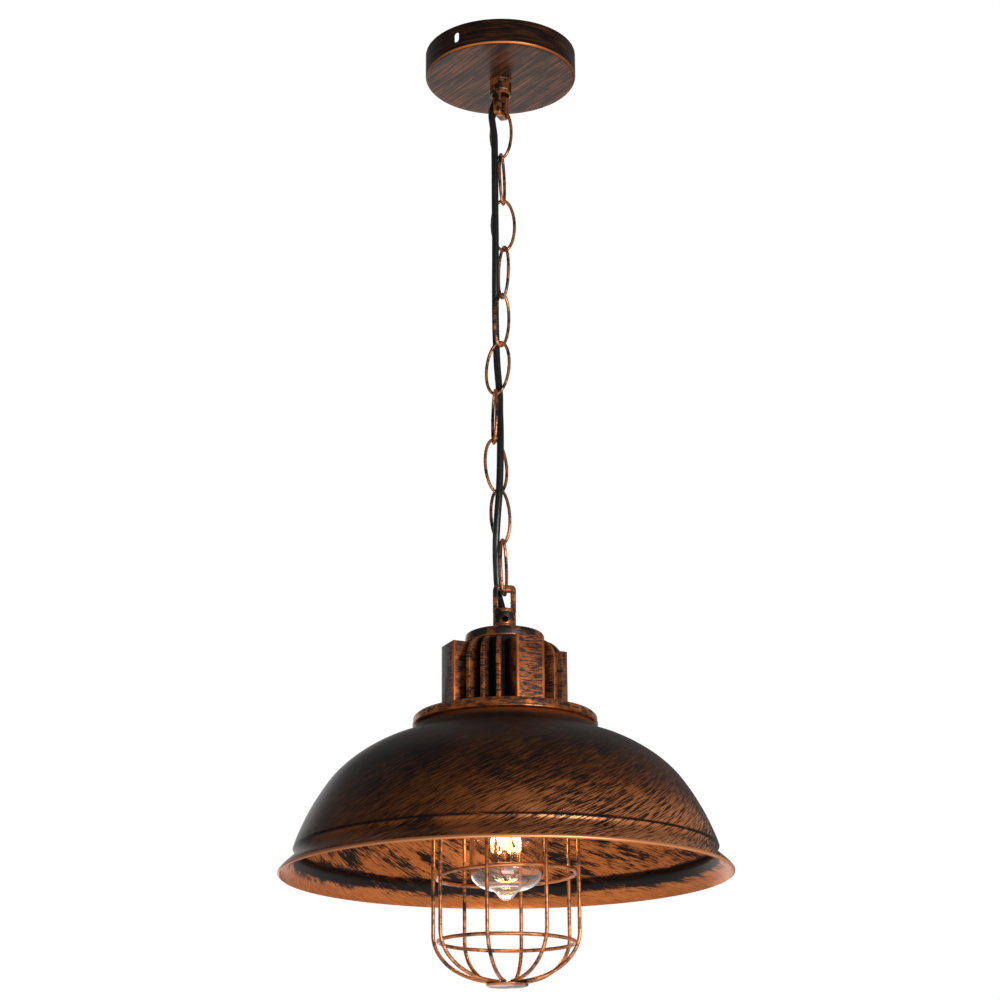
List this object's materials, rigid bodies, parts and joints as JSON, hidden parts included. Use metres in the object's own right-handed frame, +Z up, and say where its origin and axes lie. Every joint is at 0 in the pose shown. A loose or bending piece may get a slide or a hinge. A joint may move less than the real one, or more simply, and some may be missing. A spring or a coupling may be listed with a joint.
{
  "type": "pendant ceiling light",
  "caption": "Ceiling light on a chain: round canopy, oval links with the flex beside them, finned cast housing, domed metal shade, wire cage and a screw-in bulb",
  "frame": {"origin": "on the ceiling plane, in the middle of the bracket's upper face, on the canopy's axis", "axes": "+Z up into the ceiling, -Y to the front, +X to the right of someone facing the light's front"},
  "size_m": [0.3596, 0.3596, 0.8108],
  "materials": {
    "aged_cup": "black base with dry-brushed copper, satin",
    "aged_housing": "cast metal, black with dry-brushed copper edges, satin",
    "aged_shade": "spun sheet, black with scratched copper brushing, satin",
    "copper_chain": "copper-coloured plated wire with dark patches",
    "copper_cage": "copper-coloured wire with dark patches",
    "copper_loop": "cast loop, copper-coloured with dark patches",
    "zinc_steel": "zinc-plated steel",
    "brass": "plain brass",
    "tinned_contact": "tinned contact",
    "black_pvc": "smooth black flex sheath, slightly glossy",
    "live_pvc": "brown core insulation",
    "neutral_pvc": "blue core insulation",
    "earth_pvc": "green and yellow core insulation",
    "nylon": "off-white nylon",
    "bakelite": "black phenolic",
    "porcelain": "white glazed porcelain",
    "bulb_clear_glass": "clear thin glass",
    "stem_glass": "pressed glass stem",
    "filament": "glowing filament, warm yellow light"
  },
  "bodies": {
    "canopy": {"ceiling_bracket": "zinc_steel", "earth_screw": "brass", "terminal_block": "nylon", "terminal_screw_1": "brass", "terminal_screw_2": "brass", "live_core": "live_pvc", "neutral_core": "neutral_pvc", "earth_core": "earth_pvc", "canopy_cup": "aged_cup", "canopy_lower_nut": "zinc_steel", "canopy_upper_nut": "zinc_steel", "canopy_nipple": "brass", "canopy_loop": "copper_loop", "supply_cord": "black_pvc"},
    "link_01": {"chain_link_01": "copper_chain"},
    "link_02": {"chain_link_02": "copper_chain"},
    "link_03": {"chain_link_03": "copper_chain"},
    "link_04": {"chain_link_04": "copper_chain"},
    "link_05": {"chain_link_05": "copper_chain"},
    "link_06": {"chain_link_06": "copper_chain"},
    "link_07": {"chain_link_07": "copper_chain"},
    "link_08": {"chain_link_08": "copper_chain"},
    "link_09": {"chain_link_09": "copper_chain"},
    "link_10": {"chain_link_10": "copper_chain"},
    "lamp": {"lamp_loop": "copper_loop", "lamp_nipple": "brass", "housing_cap": "aged_housing", "finned_housing": "aged_housing", "shade": "aged_shade", "shade_washer": "zinc_steel", "shade_nut": "zinc_steel", "cage_top_ring": "copper_cage", "cage_wire_1": "copper_cage", "cage_wire_2": "copper_cage", "cage_wire_3": "copper_cage", "cage_wire_4": "copper_cage", "cage_wire_5": "copper_cage", "cage_wire_6": "copper_cage", "cage_wire_7": "copper_cage", "cage_wire_8": "copper_cage", "cage_upper_ring": "copper_cage", "cage_lower_ring": "copper_cage", "cage_bottom_plate": "copper_cage", "cage_screw_1": "zinc_steel", "cage_screw_2": "zinc_steel", "cage_screw_3": "zinc_steel", "lampholder_cap": "bakelite", "lampholder_body": "bakelite", "lampholder_insert": "porcelain", "lampholder_live_core": "live_pvc", "lampholder_neutral_core": "neutral_pvc", "lampholder_earth_core": "earth_pvc", "lampholder_contact": "brass", "lampholder_shell": "brass"},
    "bulb": {"bulb_contact": "tinned_contact", "bulb_insulator": "bakelite", "bulb_cap": "brass", "bulb_glass": "bulb_clear_glass", "bulb_stem": "stem_glass", "bulb_filament": "filament"}
  },
  "joints": [
    {"name": "canopy_loop_to_link_01", "type": "hinge", "parent": "canopy", "child": "link_01", "pos_m": [0, 0, -0.0573], "axis": [0.4067, 0.9135, 0], "range_deg": [-12, 12], "deforming": ["supply_cord"]},
    {"name": "link_01_to_link_02", "type": "hinge", "parent": "link_01", "child": "link_02", "pos_m": [0.0003, 0, -0.09968], "axis": [0.9135, -0.4067, 0.0065], "range_deg": [-12, 12], "deforming": ["supply_cord"]},
    {"name": "link_02_to_link_03", "type": "hinge", "parent": "link_02", "child": "link_03", "pos_m": [0.0012, 0, -0.1437], "axis": [0.2078, 0.9782, 0.0042], "range_deg": [-12, 12], "deforming": ["supply_cord"]},
    {"name": "link_03_to_link_04", "type": "hinge", "parent": "link_03", "child": "link_04", "pos_m": [0.0017, 0, -0.18773], "axis": [0.9993, 0.0349, 0.0113], "range_deg": [-12, 12], "deforming": ["supply_cord"]},
    {"name": "link_04_to_link_05", "type": "hinge", "parent": "link_04", "child": "link_05", "pos_m": [0.0008, 0, -0.23175], "axis": [0.4382, -0.8988, -0.009], "range_deg": [-12, 12], "deforming": ["supply_cord"]},
    {"name": "link_05_to_link_06", "type": "hinge", "parent": "link_05", "child": "link_06", "pos_m": [-0.002, 0, -0.27569], "axis": [0.6136, 0.7886, -0.0391], "range_deg": [-12, 12], "deforming": ["supply_cord"]},
    {"name": "link_06_to_link_07", "type": "hinge", "parent": "link_06", "child": "link_07", "pos_m": [-0.0066, 0, -0.31948], "axis": [0.9726, -0.209, -0.1022], "range_deg": [-12, 12], "deforming": ["supply_cord"]},
    {"name": "link_07_to_link_08", "type": "hinge", "parent": "link_07", "child": "link_08", "pos_m": [-0.0076, 0, -0.3635], "axis": [0.1736, -0.9848, -0.0039], "range_deg": [-12, 12], "deforming": ["supply_cord"]},
    {"name": "link_08_to_link_09", "type": "hinge", "parent": "link_08", "child": "link_09", "pos_m": [-0.0045, 0, -0.40742], "axis": [0.9109, 0.4076, 0.0643], "range_deg": [-12, 12], "deforming": ["supply_cord"]},
    {"name": "link_09_to_link_10", "type": "hinge", "parent": "link_09", "child": "link_10", "pos_m": [-0.0008, 0, -0.45129], "axis": [0.7842, -0.617, 0.0661], "range_deg": [-12, 12], "deforming": ["supply_cord"]},
    {"name": "link_10_to_lamp", "type": "hinge", "parent": "link_10", "child": "lamp", "pos_m": [0, 0, -0.49531], "axis": [-0.2418, -0.9703, -0.0044], "range_deg": [-12, 12], "deforming": ["supply_cord"]},
    {"name": "bulb_screw", "type": "hinge", "parent": "lamp", "child": "bulb", "pos_m": [0, 0, -0.66], "axis": [0, 0, -1], "range_deg": [0, 720]}
  ]
}
